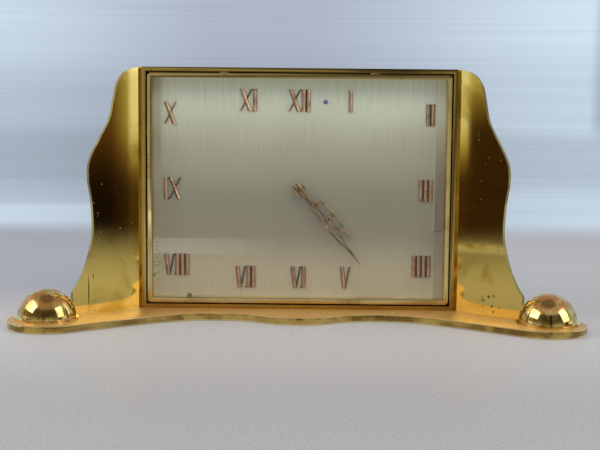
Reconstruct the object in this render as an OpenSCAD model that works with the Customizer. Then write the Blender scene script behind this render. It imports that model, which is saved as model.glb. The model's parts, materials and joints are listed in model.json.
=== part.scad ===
// Desk clock of polished brass: a rectangular case between two flared wing panels,
// on a wavy base plate with a half ball at each end, with an eight day lever movement.
// +Z is up, the dial faces -Y, and the origin is the middle of the footprint on the table.

/* [Case] */
// Outside width of the case
case_w = 140; // [139:0.5:141]
// Outside height of the case, above the base plate
case_h = 107.6; // [107.2:0.2:108.4]
// Depth of the case, front edge to back edge
case_d = 41.5; // [41:0.5:44]
// Thickness of the case walls
case_t = 1.9; // [1.7:0.1:2.1]
// Side of the square blocks in the case corners
block_w = 8; // [7:0.5:9]

/* [Bezel and glass] */
// Gap between the bezel and the case walls
bezel_gap = 0.7; // [0.6:0.1:0.9]
// Width of the bezel's front ring
bezel_w = 1.9; // [1.7:0.1:2.1]
// Depth of the bezel, which is where the dial lies
bezel_d = 9.25; // [9:0.05:9.5]
// Radius of the bezel's outer corners
bezel_r = 1.7; // [1.2:0.1:2]
// Thickness of the glass
glass_t = 1.8; // [1.5:0.1:2]

/* [Dial] */
// Thickness of the dial plate
dial_t = 0.8; // [0.6:0.1:0.8]
// Height of the dial centre above the table
dial_z = 56.6; // [56.4:0.1:57]
// Height of the applied numerals
numeral_h = 9.7; // [9:0.1:10]
// Width of a thick stroke
stroke_w = 1.8; // [1.5:0.1:1.9]
// Distance of the side numerals' outer edges from the dial centre
numeral_x = 61; // [60:0.5:62]
// Height of the top and bottom rows above and below the dial centre
numeral_z = 40; // [39:0.5:41]

/* [Hands] */
// Length of the minute hand, centre to tip
minute_len = 43.8; // [43:0.1:44]
// Length of the hour hand, centre to tip
hour_len = 32.4; // [32:0.1:33]
// Hour that the hands show at rest
rest_hour = 4; // [0:1:11]
// Minute that the hands show at rest
rest_minute = 23.3; // [0:0.1:59.9]

/* [Wings] */
// Thickness of the wing panels
wing_t = 1.8; // [1.5:0.1:2]
// Angle between the front of the case and the wing, where it leaves the case
wing_flare = 46.5; // [45:0.5:48]
// Radius of the wing's slight bow
wing_bow = 172; // [165:1:180]
// Depth of the flange that lies along the case side
flange_d = 21; // [19:0.5:24]

/* [Base] */
// Thickness of the base plate
base_t = 3.2; // [3:0.1:3.6]
// Distance of the centres of the plate's round ends from the middle
end_x = 104.8; // [104:0.2:106]
// Radius of the plate's round ends
end_r = 17.5; // [17:0.1:18]
// Radius of the half balls
ball_r = 12.5; // [12:0.1:12.6]
// Distance of the half balls from the middle
ball_x = 106.3; // [106:0.1:106.6]

/* [Movement] */
// Distance between the movement plates
plate_gap = 15; // [15:0.5:16]
// Thickness of the movement plates
plate_t = 2; // [1.8:0.1:2]
// Slack of each tooth, in parts of its module
tooth_slack = 0.14; // [0.12:0.01:0.18]
// Teeth of the barrel, the intermediate, centre, third and fourth wheel
wheel_teeth = [84, 60, 64, 60, 64];
// Leaves of the intermediate, centre, third, fourth and escape pinion
pinion_leaves = [12, 12, 8, 8, 8];
// Modules of the five meshes, barrel first
train_module = [0.36, 0.3, 0.25, 0.25, 0.2];

/* [Hidden] */
$fn = 64;

brass = "#c9a24a";
old_brass = "#b8893a";
steel = "#8e9196";
blued = "#3c4a66";
copper = "#b87a56";

// Running clearance between a pivot and its bore
play = 0.05;
// Half ball centre, and the plate's round end, behind the case front
ball_y = -29.5;
end_y = -31.2;
// The case stands on the base plate
case_z = base_t + case_h / 2;
in_w = case_w - 2 * case_t;
in_h = case_h - 2 * case_t;
// Outer and inner size of the bezel
bezel_ow = in_w - 2 * bezel_gap;
bezel_oh = in_h - 2 * bezel_gap;
bezel_iw = bezel_ow - 2 * bezel_w;
bezel_ih = bezel_oh - 2 * bezel_w;
// The lip in front of the glass, and the wall left beside it
lip_t = 1.4;
rebate = 0.9;
glass_slack = 0.1;
// Depths behind the case front
dial_y = bezel_d;
dial_back = dial_y + dial_t;
carrier_t = 2.6;
front_y = dial_back + carrier_t;
train_y = front_y + plate_t;
train_end = train_y + plate_gap;
rear_y = train_end + plate_t;
cover_t = 1.2;
cover_y = case_d - cover_t;
// The winding key is the rearmost piece, and the round ends are the foremost
key_end = case_d + 13.8;
mid_y = (key_end + end_y - end_r) / 2;

// Screw sizes: radius of the shank, radius and height of the head
back_screw = [1.2, 2.3, 1.4];
wing_screw = [1.2, 2.2, 1.3];
plate_screw = [0.8, 1.7, 1.0];
block_at = [in_w / 2 - block_w / 2, in_h / 2 - block_w / 2];
wing_screw_y = 15;
wing_screw_z = [27, 88];
base_screw_at = [[-45, 20], [45, 20], [-45, 34], [45, 34]];
base_screw_r = 1.4;
dome_screw_r = 1.5;

// Turns the movement's plane, seen from the front, into places on the case
function polar(r, a) = [r * cos(a), r * sin(a)];
function towards(a, b) = atan2(b[1] - a[1], b[0] - a[0]);

// Curve through points, where the first and last only give the direction
function blend(a, b, c, d, t) =
    0.5 * (2 * b + (c - a) * t + (2 * a - 5 * b + 4 * c - d) * t * t
    + (3 * b - a - 3 * c + d) * t * t * t);
function smooth(p, n) = [
    for (i = [1:len(p) - 3]) for (k = [0:n - 1])
        blend(p[i - 1], p[i], p[i + 1], p[i + 2], k / n),
    p[len(p) - 2]
];
function arc(c, r, a0, a1, n) = [for (k = [0:n]) c + polar(r, a0 + (a1 - a0) * k / n)];
function flip(p) = [for (i = [len(p) - 1:-1:0]) [-p[i][0], p[i][1]]];

module placed() {
    translate([0, -mid_y, 0]) children();
}

// A flat outline seen from the front, as a plate from y to y + t
module facing(y, t) {
    translate([0, y + t, 0]) rotate([90, 0, 0]) linear_extrude(t) children();
}

// The same, drawn around the dial centre
module on_movement(y, t) {
    translate([0, 0, dial_z]) facing(y, t) children();
}

module spindle(p, y0, y1, r) {
    translate([p[0], y0, dial_z + p[1]]) rotate([-90, 0, 0]) cylinder(h = y1 - y0, r = r);
}

module rounded(w, h, r) {
    square([w - 2 * r, h], center = true);
    square([w, h - 2 * r], center = true);
    for (x = [-1, 1], y = [-1, 1])
        translate([x * (w / 2 - r), y * (h / 2 - r)]) circle(r);
}

// A slotted cheese head screw, its head towards +Z and its shank below
module screw(size, shank) {
    difference() {
        union() {
            cylinder(h = size[2], r = size[1]);
            translate([0, 0, -shank]) cylinder(h = shank, r = size[0]);
        }
        translate([0, 0, size[2]]) cube([2 * size[1] + 1, 0.5, size[2]], center = true);
    }
}

// A countersunk screw that points up, its slotted head flush with the underside
module sunk_screw(r, length) {
    difference() {
        union() {
            cylinder(h = r, r1 = 2 * r, r2 = r);
            cylinder(h = length, r = r);
        }
        cube([5 * r, 0.6, 0.9], center = true);
    }
}

// Teeth: involute above the base circle, straight below it
pressure = 25;
tip = 0.7;
root = 0.9;
function involute(rb, r) = r <= rb ? 0 : tan(acos(rb / r)) * 180 / PI - acos(rb / r);
function half_tooth(n, m, r) =
    let (rp = n * m / 2, rb = rp * cos(pressure))
    90 / n - tooth_slack / n * 180 / PI + involute(rb, rp) - involute(rb, r);
function tooth_radii(n, m) =
    let (rp = n * m / 2, rb = rp * cos(pressure), low = rp - root * m)
    rb > low ? [low, rb, rp, rp + tip * m] : [low, rp, rp + tip * m];
function teeth(n, m, phase) =
    let (rs = tooth_radii(n, m), k = len(rs))
    [for (i = [0:n - 1]) let (c = phase + i * 360 / n) each concat(
        [for (j = [0:k - 1]) polar(rs[j], c - half_tooth(n, m, rs[j]))],
        [for (j = [k - 1:-1:0]) polar(rs[j], c + half_tooth(n, m, rs[j]))])];

// Phase of a gear with n2 teeth that meshes with one of n1 teeth lying at angle a from it
function meshed(phase, n1, a, n2) = a + 180 - (0.5 - (a - phase) * n1 / 360) * 360 / n2;
function span(n1, n2, m) = (n1 + n2) * m / 2;
// Where two circles meet, on the left of the way from a to b
function meet(a, ra, b, rb) =
    let (d = norm(b - a), x = (ra * ra - rb * rb + d * d) / (2 * d), u = (b - a) / d)
    a + x * u + sqrt(ra * ra - x * x) * [-u[1], u[0]];

module gear(n, m, phase) {
    polygon(teeth(n, m, phase));
}

// A crossed out wheel: rim, arms and a hub
module spoked(n, m, phase, rim, hub, arms, bar) {
    inside = n * m / 2 - root * m - rim;
    difference() {
        gear(n, m, phase);
        difference() {
            circle(inside);
            circle(hub);
            for (i = [0:arms - 1]) rotate(i * 360 / arms)
                translate([0, -bar / 2]) square([inside + 1, bar]);
        }
    }
}

// A ribbon wound flat, from radius r0 to r1
module ribbon_spiral(r0, r1, turns, thick, start) {
    steps = 28;
    n = turns * steps;
    path = [for (k = [0:n]) [r0 + (r1 - r0) * k / n, start + k * 360 / steps]];
    polygon(concat(
        [for (q = path) polar(q[0] + thick / 2, q[1])],
        [for (i = [n:-1:0]) polar(path[i][0] - thick / 2, path[i][1])]));
}

// Places of the arbors around the dial centre
centre = [0, 0];
barrel_at = [-13, 15];
intermediate_at = meet(barrel_at, span(wheel_teeth[0], pinion_leaves[0], train_module[0]),
    centre, span(wheel_teeth[1], pinion_leaves[1], train_module[1]));
third_at = polar(span(wheel_teeth[2], pinion_leaves[2], train_module[2]), -35);
fourth_at = third_at + polar(span(wheel_teeth[3], pinion_leaves[3], train_module[3]), -75);
escape_at = fourth_at + polar(span(wheel_teeth[4], pinion_leaves[4], train_module[4]), -155);
pallet_at = escape_at + polar(6, 185);
balance_at = pallet_at + polar(8.6, 190);

// Depths of the meshes
barrel_mesh = train_y + 0.6;
intermediate_mesh = train_y + 9.6;
centre_mesh = train_y + 11.3;
third_mesh = train_y + 6.3;
fourth_mesh = train_y + 2.9;
escape_level = train_y + 7.9;
wheel_t = 0.8;
drum_end = train_y + 8.5;

// Motion work between the dial and the front plate
cannon_teeth = 14;
minute_teeth = 42;
motion_module = 0.25;
minute_leaves = 10;
hour_teeth = 40;
hour_module = 0.28;
minute_at = polar(span(cannon_teeth, minute_teeth, motion_module), 22);
setting_at = minute_at + polar(span(minute_teeth, cannon_teeth, motion_module), 2);
minute_level = front_y - 1.0;
hour_level = front_y - 2.15;
motion_t = 0.75;
minute_phase = meshed(0, cannon_teeth, towards(centre, minute_at), minute_teeth);
cannon_r = 1.2;
cannon_bore = 0.8;
hour_pipe_r = 1.9;
minute_hand_y = dial_y - 4.1;
hour_hand_y = dial_y - 2.4;
hand_t = 0.6;
minute_angle = rest_minute * 6;
hour_angle = rest_hour * 30 + rest_minute / 2;

// Radii of the pivots and arbors
pivot_r = 0.4;
arbor_r = 0.6;
barrel_pivot = 1.8;
barrel_core = 2.5;
barrel_square = 2.4;
setting_r = 0.7;
balance_pivot = 0.3;

// Wavy front of the base plate, from the middle to the round end, then around to the back
front_wave = smooth([
    [-10, -20.9], [0, -22.9], [10, -20.9], [20.5, -14.9], [31, -13], [46, -13.6],
    [61.3, -20.9], [76.7, -31.6], [end_x, end_y] + polar(end_r, -126),
    [end_x, end_y] + polar(end_r, -112)], 6);
back_curve = smooth([
    [end_x, end_y] + polar(end_r, 64), [end_x, end_y] + polar(end_r, 78),
    [98, -10], [88, -1], [81, 12], [77.5, 27], [76, 39], [75.5, 44]], 5);
back_corner = 6.5;
half_outline = concat(front_wave,
    arc([end_x, end_y], end_r, -118, 70, 47), back_curve,
    arc([76 - back_corner, case_d - 2.5], back_corner, 15, 90, 6));

// Outline of a wing: distance out from the case, and height
wing_edge = smooth([
    [34, 4], [35.4, 12.2], [32.4, 17], [28.4, 25.6], [25.4, 38], [25.9, 52], [27.4, 62],
    [26.6, 70], [21.8, 79.2], [16.8, 88], [14.6, 97], [12.6, 104], [8, 108.8],
    [0, case_h + base_t], [-10, case_h + base_t]], 6);
wing_outline = concat([[-24, base_t], [34.2, base_t], [35.2, base_t + 4.8]], wing_edge,
    [[-24, case_h + base_t]]);
wing_root = [case_w / 2, 1.9];
wing_chord = 40.6;

// Base, domes and their fasteners
module base_plate() {
    placed() color(old_brass) difference() {
        linear_extrude(base_t) polygon(concat(half_outline, flip(half_outline)));
        for (x = [-ball_x, ball_x])
            translate([x, ball_y, 0]) sunk_hole(dome_screw_r);
        for (p = base_screw_at)
            translate([p[0], p[1], 0]) sunk_hole(base_screw_r);
    }
}

module sunk_hole(r) {
    translate([0, 0, -0.01]) cylinder(h = r + 0.06, r1 = 2 * r + 0.06, r2 = r + play);
    translate([0, 0, -1]) cylinder(h = base_t + 2, r = r + play);
}

module dome(x) {
    brim_r = ball_r + 0.75;
    brim_t = 0.8;
    lift = 0.3;
    placed() color(brass) translate([x, ball_y, base_t]) difference() {
        union() {
            cylinder(h = brim_t, r = brim_r);
            intersection() {
                translate([0, 0, lift]) sphere(ball_r);
                cylinder(h = 2 * ball_r, r = brim_r);
            }
        }
        translate([0, 0, -1]) cylinder(h = 8, r = dome_screw_r + 0.02);
    }
}

module dome_screws() {
    placed() color(steel) for (x = [-ball_x, ball_x])
        translate([x, ball_y, 0]) sunk_screw(dome_screw_r, base_t + 6);
}

module base_screws() {
    placed() color(steel) for (p = base_screw_at)
        translate([p[0], p[1], 0]) sunk_screw(base_screw_r, base_t + case_t + 3);
}

module base_nuts() {
    nut_t = 2;
    placed() color(steel) for (p = base_screw_at)
        translate([p[0], p[1], base_t + case_t]) difference() {
            cylinder(h = nut_t, r = 2.9, $fn = 6);
            translate([0, 0, -1]) cylinder(h = nut_t + 2, r = base_screw_r + 0.02);
        }
}

// Case: a band of four walls, open at the front and the back
module case_body() {
    placed() color(brass) difference() {
        translate([0, 0, case_z]) facing(0, case_d) difference() {
            rounded(case_w, case_h, 0.6);
            square([in_w, in_h], center = true);
        }
        for (p = base_screw_at)
            translate([p[0], p[1], base_t - 1]) cylinder(h = case_t + 2, r = base_screw_r + play);
        for (z = wing_screw_z)
            translate([-case_w, wing_screw_y, z]) rotate([0, 90, 0])
                cylinder(h = 2 * case_w, r = wing_screw[0] + 0.02);
    }
}

module corner_blocks() {
    placed() color(old_brass) for (x = [-1, 1], z = [-1, 1])
        translate([x * block_at[0], front_y, case_z + z * block_at[1]]) difference() {
            translate([-block_w / 2, 0, -block_w / 2]) cube([block_w, cover_y - front_y, block_w]);
            translate([0, -1, 0]) rotate([-90, 0, 0])
                cylinder(h = case_d, r = back_screw[0] + 0.15);
        }
}

module wing_panel() {
    bow_centre = wing_root + wing_bow * [sin(wing_flare), cos(wing_flare)];
    intersection() {
        union() {
            difference() {
                translate([bow_centre[0], bow_centre[1], 0]) cylinder(h = 2 * case_h, r = wing_bow);
                translate([bow_centre[0], bow_centre[1], -1])
                    cylinder(h = 3 * case_h, r = wing_bow - wing_t);
                translate([-case_w, -case_w, -1]) cube([1.5 * case_w, 3 * case_w, 3 * case_h]);
            }
            translate([wing_root[0], wing_root[1], 0]) cube([wing_t, flange_d, 2 * case_h]);
        }
        translate([wing_root[0], wing_root[1], 0]) rotate(-wing_chord)
            facing(-30, 60) polygon(wing_outline);
    }
}

module wing(side) {
    placed() color(brass) mirror([side < 0 ? 1 : 0, 0, 0]) difference() {
        wing_panel();
        for (z = wing_screw_z)
            translate([case_w / 2 - 1, wing_screw_y, z]) rotate([0, 90, 0])
                cylinder(h = wing_t + 2, r = wing_screw[0] + 0.1);
    }
}

module wing_screws() {
    placed() color(steel) for (side = [-1, 1], z = wing_screw_z)
        translate([side * (case_w / 2 + wing_t), wing_screw_y, z]) rotate([0, side * 90, 0])
            screw(wing_screw, wing_t + case_t + 1.6);
}

// Front: bezel, glass and the sleeve that holds the glass
module bezel() {
    nub = bezel_gap - 0.02;
    placed() color(brass) translate([0, 0, case_z]) {
        facing(0, lip_t) difference() {
            rounded(bezel_ow, bezel_oh, bezel_r);
            square([bezel_iw, bezel_ih], center = true);
        }
        facing(lip_t, bezel_d - lip_t) difference() {
            rounded(bezel_ow, bezel_oh, bezel_r);
            square([bezel_iw + 2 * rebate, bezel_ih + 2 * rebate], center = true);
        }
        for (x = [-1, 1], z = [-1, 1]) {
            translate([x * bezel_ow / 4, 5, z * (bezel_oh / 2 + nub / 2 - 0.1)])
                cube([4, 2, nub + 0.2], center = true);
            translate([x * (bezel_ow / 2 + nub / 2 - 0.1), 5, z * bezel_oh / 4])
                cube([nub + 0.2, 2, 4], center = true);
        }
    }
}

module glass() {
    placed() color("#dfe8ea", 0.3) translate([0, 0, case_z]) facing(lip_t, glass_t)
        square([bezel_iw + 2 * (rebate - glass_slack), bezel_ih + 2 * (rebate - glass_slack)],
            center = true);
}

module glass_retainer() {
    sleeve = [bezel_iw + 2 * (rebate - glass_slack), bezel_ih + 2 * (rebate - glass_slack)];
    placed() color(brass) translate([0, 0, case_z])
        facing(lip_t + glass_t, bezel_d - lip_t - glass_t) difference() {
            square(sleeve, center = true);
            square([bezel_iw, bezel_ih], center = true);
        }
}

// Dial with a foot in two corners of the carrier
feet_at = [[-45, -30], [45, 30]];
foot_r = 0.9;
module dial() {
    placed() color("#c4c2a8") difference() {
        union() {
            translate([0, 0, case_z]) facing(dial_y, dial_t)
                square([bezel_ow - 0.4, bezel_oh - 0.4], center = true);
            for (p = feet_at) spindle(p, dial_y + 0.2, front_y, foot_r);
        }
        spindle(centre, dial_y - 1, dial_back + 1, 2.5);
    }
}

// Numerals: bars with a roof ridge, small webs at both ends and a thin backing between upright bars
thin_w = 0.7;
eave = 0.5;
ridge = 1.0;
five_w = 4.8;
ten_w = 5.6;
close_gap = 0.45;
backing = 0.2;
open_gap = 0.3;
function glyph_w(c) = c == "I" ? stroke_w : c == "V" ? five_w : ten_w;
function gap(a, b) = a == "I" && b == "I" ? close_gap : open_gap;
function glyph_x(s, i) = i == 0 ? 0 : glyph_x(s, i - 1) + glyph_w(s[i - 1]) + gap(s[i - 1], s[i]);
function numeral_w(s) = glyph_x(s, len(s) - 1) + glyph_w(s[len(s) - 1]);

// One stroke from x0 at the top to x1 at the bottom
module stroke(x0, x1, w) {
    length = norm([x0 - x1, numeral_h]) + 2 * w;
    translate([(x0 + x1) / 2, 0, 0]) rotate([0, atan2(x0 - x1, numeral_h), 0])
        translate([0, 0, -length / 2]) linear_extrude(length)
            polygon([[-w / 2, 0], [-w / 2, -eave], [0, -ridge], [w / 2, -eave], [w / 2, 0]]);
}

module glyph(c) {
    if (c == "I") stroke(stroke_w / 2, stroke_w / 2, stroke_w);
    if (c == "V") {
        stroke(stroke_w / 2, five_w / 2 - 0.25, stroke_w);
        stroke(five_w - thin_w / 2, five_w / 2 + 0.25, thin_w);
    }
    if (c == "X") {
        stroke(stroke_w / 2, ten_w - stroke_w / 2, stroke_w);
        stroke(ten_w - thin_w / 2, thin_w / 2, thin_w);
    }
}

module numeral(s, x, z) {
    web = 0.5;
    translate([x - numeral_w(s) / 2, dial_y, dial_z + z]) {
        intersection() {
            union() for (i = [0:len(s) - 1]) translate([glyph_x(s, i), 0, 0]) glyph(s[i]);
            translate([-1, -2, -numeral_h / 2]) cube([20, 4, numeral_h]);
        }
        for (i = [0:max(len(s) - 2, 0)]) if (len(s) > 1) for (end = [-1, 1])
            translate([glyph_x(s, i) + glyph_w(s[i]) - 0.3, -eave,
                end * (numeral_h - web) / 2 - web / 2])
                cube([gap(s[i], s[i + 1]) + 0.6, eave, web]);
        for (i = [0:max(len(s) - 2, 0)]) if (len(s) > 1 && s[i] == "I" && s[i + 1] == "I")
            translate([glyph_x(s, i) + stroke_w - 0.3, -backing, 0.25 - numeral_h / 2])
                cube([close_gap + 0.6, backing, numeral_h - 0.5]);
    }
}

side_rows = [34, 0, -34.6];
inner_x = 23;
module numerals_top() {
    placed() color(copper) {
        numeral("XI", -inner_x, numeral_z);
        numeral("XII", 0, numeral_z);
        numeral("I", inner_x, numeral_z);
    }
}

module numerals_bottom() {
    placed() color(copper) {
        numeral("VII", -inner_x - 1, -numeral_z);
        numeral("VI", 0, -numeral_z);
        numeral("V", inner_x - 1.6, -numeral_z);
    }
}

module numerals_left() {
    names = ["X", "IX", "VIII"];
    placed() color(copper) for (i = [0:2])
        numeral(names[i], -numeral_x + numeral_w(names[i]) / 2, side_rows[i]);
}

module numerals_right() {
    names = ["II", "III", "IIII"];
    inset = [0, 0.4, 0.7];
    placed() color(copper) for (i = [0:2])
        numeral(names[i], numeral_x - inset[i] - numeral_w(names[i]) / 2, side_rows[i]);
}

// Movement carrier: a frame behind the dial, clamped to the corner blocks
plate_lo = [-31, -28];
plate_hi = [23, 33];
ears_at = [[-34, 2], [26, 2], [-4, 36], [-4, -31]];
pillars_at = [[-27.5, 29.5], [19.5, 29.5], [19.5, -24.5], [-27.5, -24.5]];
module plate_shape(inset, r) {
    size = plate_hi - plate_lo;
    translate((plate_hi + plate_lo) / 2)
        rounded(size[0] - 2 * inset, size[1] - 2 * inset, r);
}

module movement_carrier() {
    placed() color(old_brass) difference() {
        union() {
            translate([0, 0, case_z]) facing(dial_back, carrier_t)
                square([in_w - 0.4, in_h - 0.4], center = true);
        }
        on_movement(dial_back - 1, carrier_t + 2) plate_shape(2, 5);
        for (p = feet_at) spindle(p, dial_back - 1, front_y + 1, foot_r + 0.1);
        for (p = ears_at) spindle(p, dial_back - 1, front_y + 1, plate_screw[0] + 0.02);
        for (x = [-1, 1], z = [-1, 1])
            translate([x * block_at[0], 0, case_z + z * block_at[1]]) rotate([-90, 0, 0])
                cylinder(h = case_d, r = back_screw[0] + 0.02);
    }
}

// Back cover, with holes for the winding arbor, the setting arbor and the regulator
module back_cover() {
    placed() color(brass) difference() {
        translate([0, 0, case_z]) facing(cover_y, cover_t)
            square([in_w - 0.4, in_h - 0.4], center = true);
        spindle(barrel_at, cover_y - 1, case_d + 1, 3.4);
        spindle(setting_at, cover_y - 1, case_d + 1, 2.2);
        on_movement(cover_y - 1, cover_t + 2) translate(balance_at + [0, -9]) {
            square([11, 3.2], center = true);
            for (x = [-5.5, 5.5]) translate([x, 0]) circle(1.6);
        }
        for (x = [-1, 1], z = [-1, 1])
            translate([x * block_at[0], 0, case_z + z * block_at[1]]) rotate([-90, 0, 0])
                cylinder(h = 2 * case_d, r = back_screw[0] + 0.15);
    }
}

module back_screws() {
    placed() color(steel) for (x = [-1, 1], z = [-1, 1])
        translate([x * block_at[0], case_d, case_z + z * block_at[1]]) rotate([-90, 0, 0])
            screw(back_screw, case_d - dial_back - 0.4);
}

// Movement plates, pillars and screws
module front_plate() {
    placed() color(brass) difference() {
        union() {
            on_movement(front_y, plate_t) {
                plate_shape(0, 4);
                for (p = ears_at) translate(p) circle(3.6);
            }
            spindle(minute_at, front_y - 2.3, front_y + 0.5, 0.6);
        }
        for (p = pillars_at) spindle(p, front_y - 1, train_y + 1, 1.22);
        for (p = ears_at) spindle(p, front_y - 1, train_y + 1, plate_screw[0] + 0.1);
        for (p = [intermediate_at, third_at, fourth_at, escape_at, pallet_at])
            spindle(p, front_y - 1, train_y + 1, pivot_r + play);
        spindle(balance_at, front_y - 1, train_y + 1, balance_pivot + play);
        spindle(centre, front_y - 1, train_y + 1, 0.75 + play);
        spindle(barrel_at, front_y - 1, train_y + 1, barrel_pivot + play);
        spindle(setting_at, front_y - 1, train_y + 1, setting_r + play);
    }
}

regulator_r = 2;
module back_plate() {
    placed() color(brass) difference() {
        union() {
            on_movement(train_end, plate_t) plate_shape(0, 4);
            spindle(balance_at, train_end, rear_y + 0.9, regulator_r);
        }
        for (p = pillars_at) spindle(p, train_end - 1, rear_y + 1, plate_screw[0] + 0.1);
        for (p = [intermediate_at, third_at, fourth_at, escape_at, pallet_at, centre])
            spindle(p, train_end - 1, rear_y + 1, pivot_r + play);
        spindle(balance_at, train_end - 1, rear_y + 2, balance_pivot + play);
        spindle(barrel_at, train_end - 1, rear_y + 1, barrel_pivot + play);
        spindle(setting_at, train_end - 1, rear_y + 1, setting_r + play);
        spindle(click_at, train_end - 1, rear_y + 1, click_r + 0.02);
        spindle(spring_foot, train_end - 1, rear_y + 1, 0.52);
        spindle(balance_at + polar(stud_r, stud_angle), train_end - 1, rear_y + 1, 0.52);
        on_movement(train_end - 1, plate_t + 2) translate(balance_at) curb_slot();
    }
}

// Arc slot for the regulator's curb pins
curb_r = 5.2;
curb_angle = 30;
module curb_slot() {
    reach = 22;
    slot = 0.6;
    intersection() {
        difference() {
            circle(curb_r + slot);
            circle(curb_r - slot);
        }
        polygon([[0, 0], polar(3 * curb_r, curb_angle - reach),
            polar(3 * curb_r, curb_angle), polar(3 * curb_r, curb_angle + reach)]);
    }
}

module pillars() {
    placed() color(old_brass) for (p = pillars_at) difference() {
        union() {
            spindle(p, train_y, train_end, 2);
            spindle(p, front_y, train_y + 1, 1.2);
        }
        spindle(p, train_end - 5, train_end + 1, plate_screw[0] + 0.02);
    }
}

module plate_screws() {
    placed() color(blued) for (p = pillars_at)
        translate([p[0], rear_y, dial_z + p[1]]) rotate([-90, 0, 0])
            screw(plate_screw, plate_t + 4);
}

module movement_screws() {
    placed() color(blued) for (p = ears_at)
        translate([p[0], train_y, dial_z + p[1]]) rotate([-90, 0, 0])
            screw(plate_screw, plate_t + 2);
}

// Hands: openwork blades with a round boss, drawn pointing up
minute_blade = [[1.5, 0.6], [8, 0.5], [8.9, 1.2], [20, 1.65], [24, 1.6], [31, 1.15],
    [33.3, 0.6], [38, 0.5], [minute_len, 0.3]];
minute_windows = [[[9.7, 0.5], [10.2, 0.7], [20.6, 1.05]],
    [[21.5, 1.05], [24, 1.0], [30.4, 0.6], [31.6, 0.2]]];
hour_blade = [[1.5, 0.6], [9.4, 0.5], [10.9, 3.1], [14, 3.5], [17.4, 3.3], [19.2, 2.5],
    [21, 2.45], [23.2, 2.2], [26.3, 1.1], [27.6, 0.6], [hour_len, 0.3]];
hour_windows = [[[11.5, 2.3], [14, 2.9], [17, 2.7], [18.4, 1.9]],
    [[19.8, 1.9], [21, 1.9], [23, 1.6], [25.8, 0.5]]];

module blade(rows) {
    polygon(concat([for (q = rows) [q[1], q[0]]],
        [for (i = [len(rows) - 1:-1:0]) [-rows[i][1], rows[i][0]]]));
}

module hand(rows, windows, y, angle, boss, bore) {
    translate([0, 0, dial_z]) rotate([0, angle, 0]) difference() {
        union() {
            facing(y, hand_t) difference() {
                blade(rows);
                for (w = windows) blade(w);
            }
            facing(y - 0.2, hand_t + 0.4) circle(boss);
        }
        facing(y - 1, hand_t + 2) circle(bore);
    }
}

module minute_hand() {
    placed() color(copper)
        hand(minute_blade, minute_windows, minute_hand_y, minute_angle, 2.2, cannon_r);
}

module hour_hand() {
    placed() color(copper)
        hand(hour_blade, hour_windows, hour_hand_y, hour_angle, 2.9, hour_pipe_r);
}

module cannon_pinion() {
    placed() color(steel) difference() {
        union() {
            on_movement(minute_level, motion_t) gear(cannon_teeth, motion_module, 0);
            spindle(centre, minute_hand_y - 0.25, front_y - 0.1, cannon_r);
        }
        spindle(centre, minute_hand_y - 2, front_y + 1, cannon_bore);
    }
}

module hour_wheel() {
    phase = meshed(0, minute_leaves, towards(minute_at, centre), hour_teeth);
    placed() color(brass) difference() {
        union() {
            on_movement(hour_level, motion_t) gear(hour_teeth, hour_module, phase);
            spindle(centre, hour_hand_y - 0.25, hour_level + motion_t, hour_pipe_r);
        }
        spindle(centre, hour_hand_y - 2, front_y, cannon_r + play);
    }
}

module minute_wheel() {
    placed() color(brass) difference() {
        union() {
            on_movement(minute_level, motion_t) translate(minute_at)
                gear(minute_teeth, motion_module, minute_phase);
            on_movement(hour_level, minute_level - hour_level + 0.2) translate(minute_at)
                gear(minute_leaves, hour_module, 0);
        }
        spindle(minute_at, hour_level - 1, front_y, 0.6 + play);
    }
}

module setting_arbor() {
    phase = meshed(minute_phase, minute_teeth, towards(minute_at, setting_at), cannon_teeth);
    placed() color(steel) union() {
        on_movement(minute_level, motion_t) translate(setting_at)
            gear(cannon_teeth, motion_module, phase);
        spindle(setting_at, minute_level - 0.3, case_d + 5, setting_r);
        spindle(setting_at, train_y + 0.1, train_y + 0.7, 1.3);
    }
}

module setting_knob() {
    knob_y = case_d + 0.8;
    knob_t = 5;
    knob_r = 5.5;
    grooves = 24;
    placed() color(brass) difference() {
        spindle(setting_at, knob_y, knob_y + knob_t, knob_r);
        spindle(setting_at, knob_y - 1, case_d + 5, setting_r);
        for (i = [0:grooves - 1])
            spindle(setting_at + polar(knob_r + 0.15, i * 360 / grooves),
                knob_y - 1, knob_y + knob_t + 1, 0.4);
    }
}

// Barrel: a toothed drum with its cover and spring, turning on the winding arbor
drum_r = 14.1;
drum_in = 13.1;
module barrel_drum() {
    placed() color(brass) difference() {
        union() {
            on_movement(barrel_mesh, 1.2) translate(barrel_at)
                gear(wheel_teeth[0], train_module[0], 0);
            spindle(barrel_at, barrel_mesh + 0.2, drum_end, drum_r);
        }
        spindle(barrel_at, barrel_mesh + 1.2, drum_end + 1, drum_in);
        spindle(barrel_at, barrel_mesh - 1, drum_end + 1, barrel_core + play);
    }
}

module barrel_cover() {
    placed() color(brass) difference() {
        spindle(barrel_at, drum_end - 0.8, drum_end, drum_in - 0.02);
        spindle(barrel_at, drum_end - 2, drum_end + 1, barrel_core + play);
    }
}

module mainspring() {
    placed() color(blued) on_movement(barrel_mesh + 1.4, drum_end - barrel_mesh - 2.4)
        translate(barrel_at) ribbon_spiral(3.1, drum_in - 0.4, 8, 0.45, 0);
}

key_y = case_d - 1;
bow_y = key_end - 9.3;
module barrel_arbor() {
    placed() color(steel) union() {
        spindle(barrel_at, front_y + 0.1, train_end + 1, barrel_pivot);
        spindle(barrel_at, train_y + 0.1, train_end - 0.1, barrel_core);
        spindle(barrel_at, train_end, rear_y + 0.2, barrel_pivot);
        on_movement(rear_y + 0.1, bow_y - 0.4 - rear_y) translate(barrel_at)
            square(barrel_square, center = true);
    }
}

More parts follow.
